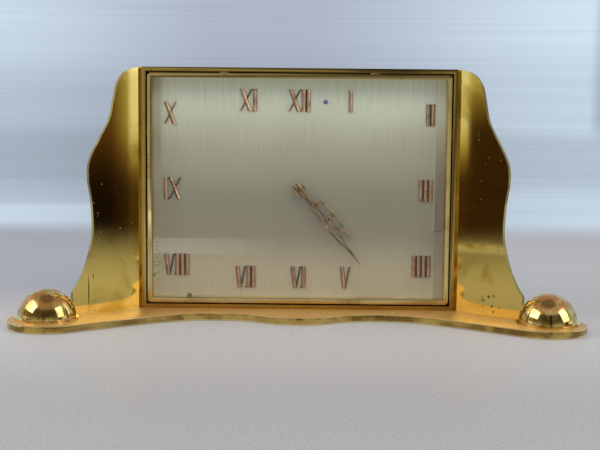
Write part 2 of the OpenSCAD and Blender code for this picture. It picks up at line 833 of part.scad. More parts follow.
ratchet_teeth = 24;
ratchet_r = 7.5;
ratchet_low = 6.6;
module ratchet_wheel() {
    pitch = 360 / ratchet_teeth;
    placed() color(steel) on_movement(rear_y + 0.25, 1.2) translate(barrel_at) difference() {
        polygon([for (i = [0:ratchet_teeth - 1]) each
            [polar(ratchet_r, i * pitch), polar(ratchet_low, (i + 0.88) * pitch)]]);
        square(barrel_square, center = true);
    }
}

// Winding key: a square socket with a flat bow of two lobes
module winding_key() {
    bow_t = 1.6;
    placed() color(brass) difference() {
        union() {
            spindle(barrel_at, key_y, bow_y + 0.6, 2.7);
            translate([barrel_at[0], bow_y, dial_z + barrel_at[1]]) {
                translate([0, 4.65, 0]) cube([5.2, 9.3, bow_t], center = true);
                for (x = [-6, 6]) translate([x, 9.3 - 4.9, 0])
                    cylinder(h = bow_t, r = 4.9, center = true);
            }
        }
        on_movement(key_y - 1, bow_y - key_y + 1) translate(barrel_at)
            square(barrel_square, center = true);
        for (x = [-6, 6]) translate([barrel_at[0] + x, bow_y + 4.4, dial_z + barrel_at[1]])
            cylinder(h = 3, r = 1.9, center = true);
    }
}

// Click: a pawl on the back plate, held by a bent spring
click_r = 0.9;
click_tip = barrel_at + polar(ratchet_r + 0.15, 60);
click_at = click_tip + polar(7, -30);
spring_foot = click_at + [4.5, 7.5];
module click() {
    heel = 1.9;
    outline = concat([click_tip, click_tip + polar(0.5, 60)],
        arc(click_at, heel, 60, -120, 12), [click_tip + polar(1.4, -30) - polar(0.15, 60)]);
    placed() color(steel) difference() {
        on_movement(rear_y + 0.25, 1.2) polygon(outline);
        spindle(click_at, rear_y - 1, rear_y + 3, click_r + play);
    }
}

module click_screw() {
    placed() color(blued) union() {
        translate([click_at[0], rear_y + 1.6, dial_z + click_at[1]]) rotate([-90, 0, 0])
            screw([click_r, 1.8, 0.9], plate_t + 1.6);
    }
}

module click_spring() {
    thick = 0.3;
    touch = click_at + polar(4.2, 150) + polar(1.3, 60);
    bend = spring_foot + [-4.5, 0.5];
    placed() color(blued) {
        on_movement(rear_y + 0.5, 0.7) {
            translate(spring_foot) circle(1);
            thread([spring_foot, bend, touch], thick);
        }
        spindle(spring_foot, rear_y - 1.5, rear_y + 0.6, 0.5);
    }
}

// A flat strip along a few points
module thread(p, w) {
    for (i = [0:len(p) - 2]) {
        u = (p[i + 1] - p[i]) / norm(p[i + 1] - p[i]);
        side = [-u[1], u[0]] * w / 2;
        polygon([p[i] - side, p[i + 1] - side, p[i + 1] + side, p[i] + side]);
        translate(p[i + 1]) circle(w / 2);
    }
}

// Train arbors: shoulders between the plates, pivots in them
module arbor(p, r, pivot) {
    spindle(p, train_y + 0.15, train_end - 0.15, r);
    spindle(p, front_y + 0.1, train_y + 0.2, pivot);
    spindle(p, train_end - 0.2, rear_y - 0.1, pivot);
}

// One wheel of the train with its pinion: k counts from 1 at the intermediate wheel
module train_wheel(k, p, driver, pinion_y, wheel_y, rim, bar) {
    n = pinion_leaves[k - 1];
    phase = meshed(0, wheel_teeth[k - 1], towards(driver, p), n);
    union() {
        arbor(p, arbor_r, pivot_r);
        on_movement(pinion_y - 0.2, 1.4) translate(p) gear(n, train_module[k - 1], phase);
        on_movement(wheel_y, wheel_t) translate(p)
            spoked(wheel_teeth[k], train_module[k], 0, rim, 1.6, 4, 1);
    }
}

module intermediate_wheel() {
    placed() color(brass)
        train_wheel(1, intermediate_at, barrel_at, barrel_mesh, intermediate_mesh, 0.9, 1);
}

module third_wheel() {
    placed() color(brass) train_wheel(3, third_at, centre, centre_mesh, third_mesh, 0.8, 1);
}

module fourth_wheel() {
    placed() color(brass) train_wheel(4, fourth_at, third_at, third_mesh, fourth_mesh, 0.8, 1);
}

module centre_wheel() {
    placed() color(brass) difference() {
        on_movement(centre_mesh, wheel_t)
            spoked(wheel_teeth[2], train_module[2], 0, 0.9, 1.9, 4, 1.1);
        spindle(centre, centre_mesh - 1, centre_mesh + 2, 1);
    }
}

module centre_arbor() {
    n = pinion_leaves[1];
    phase = meshed(0, wheel_teeth[1], towards(intermediate_at, centre), n);
    placed() color(steel) union() {
        spindle(centre, minute_hand_y - 0.5, train_y + 0.5, 0.75);
        spindle(centre, train_y + 0.15, train_end - 0.15, 1);
        spindle(centre, train_end - 0.2, rear_y - 0.1, pivot_r);
        on_movement(intermediate_mesh - 0.2, 1.2) gear(n, train_module[1], phase);
    }
}

// Escapement
escape_teeth = 15;
escape_r = 4.5;
module escape_wheel() {
    n = pinion_leaves[4];
    phase = meshed(0, wheel_teeth[4], towards(fourth_at, escape_at), n);
    placed() color(steel) union() {
        arbor(escape_at, arbor_r, pivot_r);
        on_movement(fourth_mesh - 0.2, 1.2) translate(escape_at)
            gear(n, train_module[4], phase);
        on_movement(escape_level, 0.5) translate(escape_at) difference() {
            polygon([for (i = [0:escape_teeth - 1]) let (a = i * 360 / escape_teeth) each
                [polar(3.4, a - 9), polar(escape_r, a - 1.3), polar(escape_r, a + 1.3),
                polar(3.4, a + 3)]]);
            difference() {
                circle(2.7);
                circle(1.3);
                square([6, 0.7], center = true);
                square([0.7, 6], center = true);
            }
        }
    }
}

// Lever: its stones stand clear of the wheel, and its fork ends short of the roller pin
module pallet_lever() {
    to_wheel = towards(pallet_at, escape_at);
    to_balance = towards(pallet_at, balance_at);
    stone_r = escape_r + 0.5;
    fork = norm(balance_at - pallet_at) - 2.15;
    placed() color(steel) union() {
        arbor(pallet_at, 0.5, pivot_r);
        on_movement(escape_level, 0.5) {
            translate(pallet_at) circle(1.1);
            for (s = [-1, 1]) {
                stone = escape_at + polar(stone_r, to_wheel + 180 + s * 31);
                thread([pallet_at, stone + polar(0.45, to_wheel + 180 + s * 31)], 0.8);
                translate(stone) rotate(to_wheel + s * 31) translate([-0.9, -0.25])
                    square([0.9, 0.5]);
            }
            translate(pallet_at) rotate(to_balance) {
                translate([0, -0.35]) square([fork - 0.9, 0.7]);
                for (s = [-1, 1]) translate([fork - 1.2, s * 0.55 - 0.25]) square([1.2, 0.5]);
                translate([fork - 1.3, -0.8]) square([0.4, 1.6]);
            }
        }
    }
}

balance_level = train_y + 3.4;
balance_r = 7.8;
module balance_wheel() {
    placed() color(brass) difference() {
        union() {
            on_movement(balance_level, 1.2) translate(balance_at) {
                difference() {
                    circle(balance_r);
                    circle(balance_r - 1);
                }
                rotate(40) square([2 * balance_r - 1, 1.3], center = true);
                circle(1.8);
            }
        }
        spindle(balance_at, balance_level - 1, balance_level + 3, 0.8);
    }
}

// Staff with the roller, its pin and the hairspring's collet
module balance_staff() {
    to_lever = towards(balance_at, pallet_at);
    placed() color(steel) union() {
        arbor(balance_at, 0.8, balance_pivot);
        on_movement(escape_level + 0.8, 0.6) translate(balance_at) circle(2.2);
        spindle(balance_at + polar(1.6, to_lever), escape_level, escape_level + 0.9, 0.25);
        spindle(balance_at, spring_level - 0.2, spring_level + 0.6, 1.3);
    }
}

spring_level = train_end - 2.6;
stud_r = 6.1;
stud_angle = 84;
module hairspring() {
    turns = 7;
    placed() color(blued) on_movement(spring_level, 0.4) translate(balance_at)
        ribbon_spiral(1.45, stud_r, turns, 0.14, stud_angle);
}

module hairspring_stud() {
    at = balance_at + polar(stud_r + 0.6, stud_angle);
    placed() color(steel) union() {
        spindle(balance_at + polar(stud_r, stud_angle), spring_level + 0.5, rear_y, 0.5);
        on_movement(spring_level - 0.1, 0.7) translate(at) square(1, center = true);
    }
}

// Regulator: a lever around the balance boss, with two curb pins and a pointer
module regulator() {
    placed() color(steel) difference() {
        union() {
            on_movement(rear_y + 0.15, 0.6) translate(balance_at) {
                circle(3.2);
                polygon([polar(3, -100), polar(11, -92), polar(11, -88), polar(3, -80)]);
                rotate(curb_angle) translate([0, -0.5]) square([curb_r + 0.4, 1]);
            }
            spindle(balance_at + [0, -9.5], rear_y + 0.3, case_d + 0.6, 0.5);
            for (r = [-0.3, 0.3])
                spindle(balance_at + polar(curb_r + r, curb_angle),
                    spring_level + 0.6, rear_y + 0.4, 0.12);
        }
        spindle(balance_at, rear_y - 1, rear_y + 2, regulator_r + play);
    }
}

base_plate();
dome(-ball_x);  // dome_left
dome(ball_x);  // dome_right
dome_screws();
base_screws();
base_nuts();
case_body();
corner_blocks();
wing(-1);  // wing_left
wing(1);  // wing_right
wing_screws();
bezel();
glass();
glass_retainer();
dial();
numerals_top();
numerals_right();
numerals_bottom();
numerals_left();
movement_carrier();
back_cover();
back_screws();
front_plate();
back_plate();
pillars();
plate_screws();
movement_screws();
minute_hand();
cannon_pinion();
hour_hand();
hour_wheel();
minute_wheel();
setting_arbor();
setting_knob();
barrel_drum();
barrel_cover();
mainspring();
barrel_arbor();
ratchet_wheel();
winding_key();
click();
click_screw();
click_spring();
intermediate_wheel();
centre_wheel();
centre_arbor();
third_wheel();
fourth_wheel();
escape_wheel();
pallet_lever();
balance_wheel();
balance_staff();
hairspring();
hairspring_stud();
regulator();
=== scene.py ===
import json
import math

import bmesh
import bpy
from mathutils import Matrix, Vector


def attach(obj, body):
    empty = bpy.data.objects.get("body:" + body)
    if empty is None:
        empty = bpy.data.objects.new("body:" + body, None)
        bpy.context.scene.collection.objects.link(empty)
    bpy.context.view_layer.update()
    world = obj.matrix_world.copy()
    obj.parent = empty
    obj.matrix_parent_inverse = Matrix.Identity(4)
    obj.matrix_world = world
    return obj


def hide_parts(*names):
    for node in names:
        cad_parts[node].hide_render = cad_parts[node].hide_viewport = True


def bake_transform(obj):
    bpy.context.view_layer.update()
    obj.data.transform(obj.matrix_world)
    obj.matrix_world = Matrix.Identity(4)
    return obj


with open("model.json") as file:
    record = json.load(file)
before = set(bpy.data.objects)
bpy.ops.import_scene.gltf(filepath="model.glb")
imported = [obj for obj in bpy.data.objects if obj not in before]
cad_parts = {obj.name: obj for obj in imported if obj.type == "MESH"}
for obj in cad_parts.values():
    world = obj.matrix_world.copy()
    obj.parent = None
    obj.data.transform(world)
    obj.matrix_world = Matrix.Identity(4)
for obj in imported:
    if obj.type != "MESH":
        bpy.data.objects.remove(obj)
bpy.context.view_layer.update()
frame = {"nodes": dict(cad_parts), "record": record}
nodes = frame["nodes"]

MM = 0.001

# Sizes and angles of the clock that its finish follows
BASE_TOP = 3.2 * MM
NUMERAL_EAVE = 5.45 * MM
MINUTE_FRONT = 1.85 * MM
HOUR_FRONT = 3.55 * MM
HANDS_LEAN = math.radians(42)
CASE_HALF = 70 * MM
WING_BOW = 172.0 * MM
WING_FLARE = math.radians(46.5)
WING_ROOT_Y = -1.4 * MM
WING_RIM = 0.13 * MM
WING_RIM_TURN = math.radians(38.3)
WING_EASE = 0.45
SHARP_EDGE = math.radians(35)
NEARLY_FLAT = math.radians(0.5)
SAME_POINT = 1e-6
SPRING_ROOT = Vector((0.2, 29.0, 82.4)) * MM
SPRING_TIP = Vector((-5.8, 29.0, 78.3)) * MM
SPRING_LENGTHS = 16

# Depths of the marked faces, in millimetres as in a mark's centre
WING_FACE = -8.0
DIAL_FACE = 5.9

# Where the table fades out, in metres from the clock
TABLE_SIDE_FADE = (0.70, 0.42)
TABLE_END_FADE = (0.47, 0.32)
MIRRORED_SIDE_FADE = (0.33, -0.01, 0.0, 0.72)
MIRRORED_END_FADE = (0.50, 0.20)
RING_OUTSIDE = (0.252, 0.232)
RING_INSIDE = (0.178, 0.198)
RING_LEFT_HALF = (0.03, -0.05, 0.0, 0.82)

# Where the table's tone changes, in metres along and across
TABLE_NEAR_TO_LIT = (-0.17, -0.04)
TABLE_LEFT_TO_RIGHT = (-0.10, 0.16)
TABLE_FRONT_TO_FAR = (-0.01, 0.10)

# Tones of the wall and its painted shadows and glow, by the x or z of the direction that is looked
# in
WALL_TO_RIGHT = (-0.02, 0.26)
WALL_TO_LEFT = (-0.06, -0.28)
WALL_LINES = (0.3, 0.7, 0.965, 1.035)
WALL_UPPER = (0.02, 0.075, 0.87, 1.0)
BAND_TOP = (0.0, -0.03)
BAND_FOOT = (-0.078, -0.046)
BAND_SHADE = 0.82
CORNER_SIDE = (0.234, 0.250)
CORNER_FOOT = (-0.03, 0.0)
CORNER_SHADE = 0.72
LEFT_SIDE = (-0.08, -0.20)
LEFT_TOP = (0.06, 0.0)
LEFT_SHADE = 0.88
FOOT_SIDE = (0.05, -0.12)
FOOT_TOP = (-0.071, -0.084)
FOOT_SHADE = 1.27

# Brightness of the mirrored room, by how far ahead or up the direction points
RIGHT_FAR = (0.295, 0.36, 0.30, 0.09)
RIGHT_NEAR = (0.297, 0.283, 0.0, 0.52)
RIGHT_HEIGHT = (-0.066, 0.0, 0.08, 1.0)
LEFT_NEAR = (-0.055, 0.004, 0.05, 0.77)
LEFT_FAR = (-0.008, 0.036, 0.035, 0.50)
LEFT_EDGE = (0.284, 0.270)
SIDES_HEIGHT = (0.05, 0.14, 1.0, 0.35)
FRONT_HEIGHT = (-0.10, 0.30, 0.38, 0.10)
FRONT_MIDDLE = (0.03, 0.13, 0.14, 1.0)
FRONT_EDGE = (0.45, 0.62)
DARK_TO_DIM = (0.02, 0.35)
DIM_TO_PALE = (0.35, 0.75)
BEHIND_EDGE = (0.02, -0.20)
CEILING_EDGE = (0.57, 0.72)
CEILING_MIDDLE_EDGE = (0.88, 0.96)
AMBIENT_HEIGHT = (-0.1, 0.8)

# Pale sheets on the table in front of the clock, in metres
SHEETS_LEFT_END = -0.118
SHEETS_Y = -0.254
SHEETS_LIFT = 0.002
SHEETS_DEPTH = 0.092

# Colours of the studio
TABLE_DARK = (0.44, 0.425, 0.43, 1)
TABLE_PALE = (0.61, 0.58, 0.58, 1)
TABLE_NEAR = (0.90, 0.91, 0.91, 1)
TABLE_LIT = (1.18, 1.18, 1.18, 1)
TABLE_FAR_LEFT = (0.88, 0.94, 1.05, 1)
TABLE_FAR_RIGHT = (1.12, 1.14, 1.18, 1)
WALL_MIDDLE = (0.42, 0.47, 0.57, 1)
WALL_LEFT = (0.60, 0.71, 0.83, 1)
WALL_RIGHT = (0.64, 0.76, 0.88, 1)
AMBIENT_LOW = (0.33, 0.32, 0.33, 1)
AMBIENT_HIGH = (0.50, 0.52, 0.54, 1)
CEILING = (0.44, 0.40, 0.34, 1)
CEILING_MIDDLE = (0.16, 0.14, 0.11, 1)
ROOM_DARK_TINT = (1.0, 0.48, 0.18, 1)
ROOM_DIM_TINT = (1.0, 0.90, 0.36, 1)
ROOM_PALE_TINT = (1.0, 1.04, 1.20, 1)
ROOM_FRONT_TINT = (1.0, 0.92, 0.66, 1)

# Colours of the metals and the dial
BRASS_CLEAN = (0.87, 0.67, 0.18, 1)
BRASS_STAINED = (0.58, 0.41, 0.06, 1)
PIT_BROWN = (0.06, 0.035, 0.015, 1)
# Painted highlight colour for the base's rounded edges
EDGE_PALE = (1.0, 0.84, 0.42, 1)
COPPER_DARK = (0.52, 0.28, 0.075, 1)
COPPER_PALE = (0.86, 0.49, 0.15, 1)
HANDS_SHADE = (0.10, 0.05, 0.02, 1)
# The dial's ground colours below carry painted light and reflection
DIAL_TOP_EDGE = (0.87, 0.89, 0.68, 1)
DIAL_UPPER = (0.56, 0.53, 0.385, 1)
DIAL_MIDDLE = (0.345, 0.305, 0.21, 1)
DIAL_LOWER = (0.60, 0.51, 0.33, 1)
DIAL_GRAIN = (0.25, 0.22, 0.16, 1)
# Painted shade on the dial's side margins
DIAL_PAINTED_SHADE = (0.16, 0.10, 0.055, 1)
DIAL_TICK = (0.09, 0.07, 0.045, 1)
DIAL_GREEN = (0.13, 0.13, 0.05, 1)
DIAL_INK = (0.07, 0.10, 0.38, 1)
CROWN_COPPER = (0.72, 0.36, 0.13, 1)
GILT_JOINT_AND_SHADE = (0.06, 0.022, 0.008, 1)
ARBOR_END = (0.20, 0.12, 0.05, 1)


# Camera at the photograph's viewing angle
def aim_camera():
    eye = Vector((2.54, -514.65, 90.64)) * MM
    pitch = math.radians(5.516)
    yaw = math.radians(-0.203)
    roll = math.radians(0.562)
    ahead = Vector((
        math.sin(yaw) * math.cos(pitch),
        math.cos(yaw) * math.cos(pitch),
        -math.sin(pitch),
    ))
    level = Vector((math.cos(yaw), -math.sin(yaw), 0.0))
    above = level.cross(ahead)
    right = math.cos(roll) * level + math.sin(roll) * above
    up = -math.sin(roll) * level + math.cos(roll) * above
    lens = bpy.data.cameras.new("photo_camera")
    lens.sensor_width = 36.0
    lens.lens = 69.0
    lens.clip_start = 0.01
    lens.clip_end = 20.0
    camera = bpy.data.objects.new("photo_camera", lens)
    turn = Matrix((right, up, -ahead)).transposed()
    camera.matrix_world = Matrix.Translation(eye) @ turn.to_4x4()
    bpy.context.scene.collection.objects.link(camera)
    bpy.context.scene.camera = camera
    bpy.context.scene.view_settings.view_transform = "Standard"


# Small tools for shader nodes
def add(tree, kind, settings=None, values=None):
    node = tree.nodes.new(kind)
    for name, value in (settings or {}).items():
        setattr(node, name, value)
    for name, value in (values or {}).items():
        if hasattr(value, "is_linked"):
            tree.links.new(value, node.inputs[name])
        else:
            node.inputs[name].default_value = value
    return node


def math_node(tree, operation, *values, clamp=False):
    settings = {"operation": operation, "use_clamp": clamp}
    return add(tree, "ShaderNodeMath", settings, dict(enumerate(values))).outputs[0]


def times(tree, a, b):
    return math_node(tree, "MULTIPLY", a, b)


def larger(tree, a, b):
    return math_node(tree, "MAXIMUM", a, b)


def between(tree, factor, a, b):
    return add(tree, "ShaderNodeMix", None, {0: factor, 2: a, 3: b}).outputs[0]


def mixed(tree, factor, a, b):
    return add(tree, "ShaderNodeMix", {"data_type": "RGBA"}, {0: factor, 6: a, 7: b}).outputs[2]


def vector_math(tree, operation, a, b):
    return add(tree, "ShaderNodeVectorMath", {"operation": operation}, {0: a, 1: b}).outputs[0]


def scaled(tree, colour, amount):
    return add(tree, "ShaderNodeVectorMath", {"operation": "SCALE"}, {
        0: colour, "Scale": amount,
    }).outputs[0]


def length_of(tree, vector):
    return add(tree, "ShaderNodeVectorMath", {"operation": "LENGTH"}, {0: vector}).outputs["Value"]


def turned(tree, vector, axis, angle):
    return add(tree, "ShaderNodeVectorRotate", {"rotation_type": "AXIS_ANGLE"}, {
        "Vector": vector, "Axis": axis, "Angle": angle,
    }).outputs[0]


def parts_of(tree, vector):
    return add(tree, "ShaderNodeSeparateXYZ", None, {0: vector}).outputs


def noise(tree, place, **values):
    return add(tree, "ShaderNodeTexNoise", None, {"Vector": place, **values}).outputs["Fac"]


# Smooth step of a value from one level to another
def ramped(tree, value, low, high, out_low=0.0, out_high=1.0):
    return add(tree, "ShaderNodeMapRange", {"interpolation_type": "SMOOTHSTEP"}, {
        "Value": value, "From Min": low, "From Max": high, "To Min": out_low, "To Max": out_high,
    }).outputs["Result"]


def new_group(name, inputs, outputs):
    group = bpy.data.node_groups.new(name, "ShaderNodeTree")
    for label, kind, value in inputs:
        socket = group.interface.new_socket(label, in_out="INPUT", socket_type=kind)
        if value is not None:
            socket.default_value = value
    for label, kind in outputs:
        group.interface.new_socket(label, in_out="OUTPUT", socket_type=kind)
    return group, group.nodes.new("NodeGroupInput"), group.nodes.new("NodeGroupOutput")


def place_group(tree, group, values):
    return add(tree, "ShaderNodeGroup", {"node_tree": group}, values).outputs[0]


FLOAT = "NodeSocketFloat"
VECTOR = "NodeSocketVector"


# Cloudy patches of tarnish, from clean to stained
def make_tarnish_group():
    group, given, result = new_group(
        "cloudy tarnish",
        [("Place", VECTOR, None), ("Scale", FLOAT, 40.0), ("Start", FLOAT, 0.45),
         ("Full", FLOAT, 0.75)],
        [("Mask", FLOAT)],
    )
    broad = noise(
        group, given.outputs["Place"], Scale=given.outputs["Scale"], Detail=5.0, Roughness=0.55,
        Distortion=0.6,
    )
    mask = ramped(group, broad, given.outputs["Start"], given.outputs["Full"])
    group.links.new(mask, result.inputs["Mask"])
    return group


# Dark dots of corrosion, scattered unevenly
def make_speck_group():
    group, given, result = new_group(
        "corrosion specks",
        [("Place", VECTOR, None), ("Scale", FLOAT, 900.0), ("Size", FLOAT, 0.3),
         ("Share", FLOAT, 0.1)],
        [("Mask", FLOAT)],
    )
    cells = add(group, "ShaderNodeTexVoronoi", None, {
        "Vector": given.outputs["Place"], "Scale": given.outputs["Scale"],
    })
    inside = math_node(group, "LESS_THAN", cells.outputs["Distance"], given.outputs["Size"])
    pick = add(group, "ShaderNodeSeparateColor", None, {"Color": cells.outputs["Color"]})
    chosen = math_node(group, "LESS_THAN", pick.outputs[0], given.outputs["Share"])
    group.links.new(times(group, inside, chosen), result.inputs["Mask"])
    return group


# Fine parallel grain, long along one direction
def make_grain_group():
    group, given, result = new_group(
        "fine grain",
        [("Place", VECTOR, None), ("Stretch", VECTOR, (1.0, 1.0, 1.0))],
        [("Lines", FLOAT)],
    )
    stretched = vector_math(group, "MULTIPLY", given.outputs["Place"], given.outputs["Stretch"])
    lines = noise(group, stretched, Scale=1.0, Detail=4.0, Roughness=0.6)
    group.links.new(lines, result.inputs["Lines"])
    return group


# Hairline rubbing marks from years of polishing
def make_rub_group():
    group, given, result = new_group(
        "rubbing marks", [("Place", VECTOR, None), ("Scale", FLOAT, 60.0)], [("Mask", FLOAT)],
    )
    lean = turned(group, given.outputs["Place"], axis=(0.2, 1.0, 0.1), angle=0.6)
    squeezed = vector_math(group, "MULTIPLY", lean, (40.0, 40.0, 1.5))
    marks = noise(group, squeezed, Scale=given.outputs["Scale"], Detail=2.0, Roughness=0.5)
    group.links.new(ramped(group, marks, 0.66, 0.74), result.inputs["Mask"])
    return group


# A round mark at one place, such as a spot or a worn patch
def make_spot_group():
    group, given, result = new_group(
        "single spot",
        [("Place", VECTOR, None), ("Centre", VECTOR, (0.0, 0.0, 0.0)),
         ("Squash", VECTOR, (1.0, 1.0, 1.0)), ("Inner", FLOAT, 0.001), ("Outer", FLOAT, 0.002)],
        [("Mask", FLOAT)],
    )
    offset = vector_math(group, "SUBTRACT", given.outputs["Place"], given.outputs["Centre"])
    squashed = vector_math(group, "MULTIPLY", offset, given.outputs["Squash"])
    away = length_of(group, squashed)
    mask = ramped(group, away, given.outputs["Outer"], given.outputs["Inner"])
    group.links.new(mask, result.inputs["Mask"])
    return group


TARNISH = make_tarnish_group()
SPECKS = make_speck_group()
GRAIN = make_grain_group()
RUBS = make_rub_group()
SPOT = make_spot_group()


def cloudy(tree, place, scale, start, full):
    return place_group(tree, TARNISH, {
        "Place": place, "Scale": scale, "Start": start, "Full": full,
    })


def specked(tree, place, scale, size, share):
    return place_group(tree, SPECKS, {
        "Place": place, "Scale": scale, "Size": size, "Share": share,
    })


def grained(tree, place, *stretch):
    return place_group(tree, GRAIN, {"Place": place, "Stretch": stretch})


def new_material(name):
    material = bpy.data.materials.new(name)
    material.use_nodes = True
    tree = material.node_tree
    surface = tree.nodes["Principled BSDF"]
    place = add(tree, "ShaderNodeTexCoord").outputs["Object"]
    return material, tree, surface, place


def bump(tree, surface, height, strength, distance):
    node = add(tree, "ShaderNodeBump", None, {
        "Strength": strength, "Distance": distance, "Height": height,
    })
    tree.links.new(node.outputs["Normal"], surface.inputs["Normal"])


# Polished brass: clean metal, brown clouds, specks and rubbing marks
def polished_brass(name, clean, stained, rough=0.16, stain_scale=60.0, stain_start=0.5,
                   stain_full=0.8, speck_share=0.04, dent=0.04):
    speck_shade = 0.6
    speck_dullness = 0.3
    speck_depth = 0.3
    rub_dullness = 0.06
    stain_dullness = 0.5
    material, tree, surface, place = new_material(name)
    clouds = cloudy(tree, place, stain_scale, stain_start, stain_full)
    specks = specked(tree, place, scale=700.0, size=0.22, share=speck_share)
    rubs = place_group(tree, RUBS, {"Place": place, "Scale": 30.0})
    colour = mixed(tree, clouds, clean, stained)
    colour = mixed(tree, times(tree, specks, speck_shade), colour, PIT_BROWN)
    tree.links.new(colour, surface.inputs["Base Color"])
    surface.inputs["Metallic"].default_value = 1.0
    gloss = math_node(tree, "MULTIPLY_ADD", clouds, rough * stain_dullness, rough)
    gloss = math_node(tree, "ADD", gloss, times(tree, rubs, rub_dullness))
    gloss = math_node(tree, "ADD", gloss, times(tree, specks, speck_dullness), clamp=True)
    tree.links.new(gloss, surface.inputs["Roughness"])
    waves = noise(tree, place, Scale=45.0, Detail=1.0)
    height = math_node(tree, "SUBTRACT", waves, times(tree, specks, speck_depth))
    bump(tree, surface, height, strength=dent, distance=0.5 * MM)
    return material, tree, surface, place


# Lay one more colour over a material's base colour, where a mask says
def overlay(tree, surface, mask, colour):
    under = surface.inputs["Base Color"].links[0].from_socket
    tree.links.new(mixed(tree, mask, under, colour), surface.inputs["Base Color"])


# A mark's mask: its centre and its inner and outer radius are in millimetres
def spot(tree, place, centre, squash, inner, outer):
    return place_group(tree, SPOT, {
        "Place": place, "Centre": Vector(centre) * MM, "Squash": squash,
        "Inner": inner * MM, "Outer": outer * MM,
    })


def assign(names, material):
    for name in names:
        data = nodes[name].data
        data.materials.clear()
        data.materials.append(material)


# How much of the table is seen, and how much brass mirrors of it, with a pale ring on the left
def table_extent(tree, place):
    sides = parts_of(tree, place)
    across = math_node(tree, "ABSOLUTE", sides["X"])
    along = math_node(tree, "ABSOLUTE", sides["Y"])
    distance = length_of(tree, place)
    seen = times(
        tree, ramped(tree, across, *TABLE_SIDE_FADE), ramped(tree, along, *TABLE_END_FADE),
    )
    ring = times(
        tree, ramped(tree, distance, *RING_OUTSIDE), ramped(tree, distance, *RING_INSIDE),
    )
    ring = times(tree, ring, ramped(tree, sides["X"], *RING_LEFT_HALF))
    mirrored = times(
        tree, ramped(tree, across, *MIRRORED_SIDE_FADE), ramped(tree, along, *MIRRORED_END_FADE),
    )
    mirrored = larger(tree, mirrored, ring)
    rays = add(tree, "ShaderNodeLightPath")
    return between(tree, rays.outputs["Is Glossy Ray"], seen, mirrored)


# Tone of the light on the table: lit before the clock, bluer on the far left
def table_tone(tree, place):
    sides = parts_of(tree, place)
    across, along = sides["X"], sides["Y"]
    front = mixed(tree, ramped(tree, along, *TABLE_NEAR_TO_LIT), TABLE_NEAR, TABLE_LIT)
    far = mixed(tree, ramped(tree, across, *TABLE_LEFT_TO_RIGHT), TABLE_FAR_LEFT, TABLE_FAR_RIGHT)
    return mixed(tree, ramped(tree, along, *TABLE_FRONT_TO_FAR), front, far)


# Studio: a pale table top
def lay_table():
    reach = 1.0
    drop = 0.1 * MM
    data = bpy.data.meshes.new("table_top")
    corners = [(-reach, -reach, 0), (reach, -reach, 0), (reach, reach, 0), (-reach, reach, 0)]
    data.from_pydata(corners, [], [(0, 1, 2, 3)])
    table = bpy.data.objects.new("table_top", data)
    table.location = (0.0, 0.0, -drop)
    bpy.context.scene.collection.objects.link(table)
    material, tree, surface, place = new_material("pale table top")
    weave = grained(tree, place, 2600.0, 800.0, 1.0)
    cross = grained(tree, place, 800.0, 2600.0, 1.0)
    cloth = math_node(tree, "ADD", weave, cross)
    colour = mixed(tree, ramped(tree, cloth, 0.8, 1.2), TABLE_DARK, TABLE_PALE)
    colour = vector_math(tree, "MULTIPLY", colour, table_tone(tree, place))
    tree.links.new(colour, surface.inputs["Base Color"])
    surface.inputs["Roughness"].default_value = 0.55
    bump(tree, surface, cloth, strength=0.12, distance=0.2 * MM)
    clear = add(tree, "ShaderNodeBsdfTransparent")
    mix = add(tree, "ShaderNodeMixShader", None, {
        0: table_extent(tree, place), 1: clear.outputs[0], 2: surface.outputs[0],
    })
    tree.links.new(mix.outputs[0], tree.nodes["Material Output"].inputs["Surface"])
    data.materials.append(material)


# Painted shade or glow: darken or lighten the part of the wall where two masks meet
def shaded(tree, shade, first, second, brightness):
    inside = times(tree, first, second)
    return times(tree, shade, ramped(tree, inside, 0.0, 1.0, 1.0, brightness))


# Wall behind the clock: pale blue grey, lighter towards both sides, finely lined, darker low down,
# with painted shadows in a band, a corner and low on the left, and a painted glow at its foot
def wall_colour(tree, aim):
    sides = parts_of(tree, aim)
    across, height = sides["X"], sides["Z"]
    wall = mixed(tree, ramped(tree, across, *WALL_TO_RIGHT), WALL_MIDDLE, WALL_RIGHT)
    wall = mixed(tree, ramped(tree, across, *WALL_TO_LEFT), wall, WALL_LEFT)
    lines = grained(tree, aim, 2.0, 2.0, 420.0)
    shade = times(tree, ramped(tree, lines, *WALL_LINES), ramped(tree, height, *WALL_UPPER))
    # Painted shadows in a band, a corner and low on the left, and a painted glow at the foot
    for first, first_fade, second_fade, brightness in (
        (height, BAND_TOP, BAND_FOOT, BAND_SHADE),
        (across, CORNER_SIDE, CORNER_FOOT, CORNER_SHADE),
        (across, LEFT_SIDE, LEFT_TOP, LEFT_SHADE),
        (across, FOOT_SIDE, FOOT_TOP, FOOT_SHADE),
    ):
        shade = shaded(
            tree, shade, ramped(tree, first, *first_fade), ramped(tree, height, *second_fade),
            brightness,
        )
    return scaled(tree, wall, shade)


# Brightness of the mirrored room at both sides of the clock
def room_sides(tree, across, ahead, height):
    right = math_node(
        tree, "ADD", ramped(tree, ahead, *RIGHT_FAR), ramped(tree, ahead, *RIGHT_NEAR),
    )
    right = times(tree, right, ramped(tree, height, *RIGHT_HEIGHT))
    left = between(
        tree, ramped(tree, ahead, *LEFT_EDGE),
        ramped(tree, height, *LEFT_FAR), ramped(tree, height, *LEFT_NEAR),
    )
    on_right = math_node(tree, "GREATER_THAN", across, 0.0)
    return times(tree, between(tree, on_right, left, right), ramped(tree, height, *SIDES_HEIGHT))


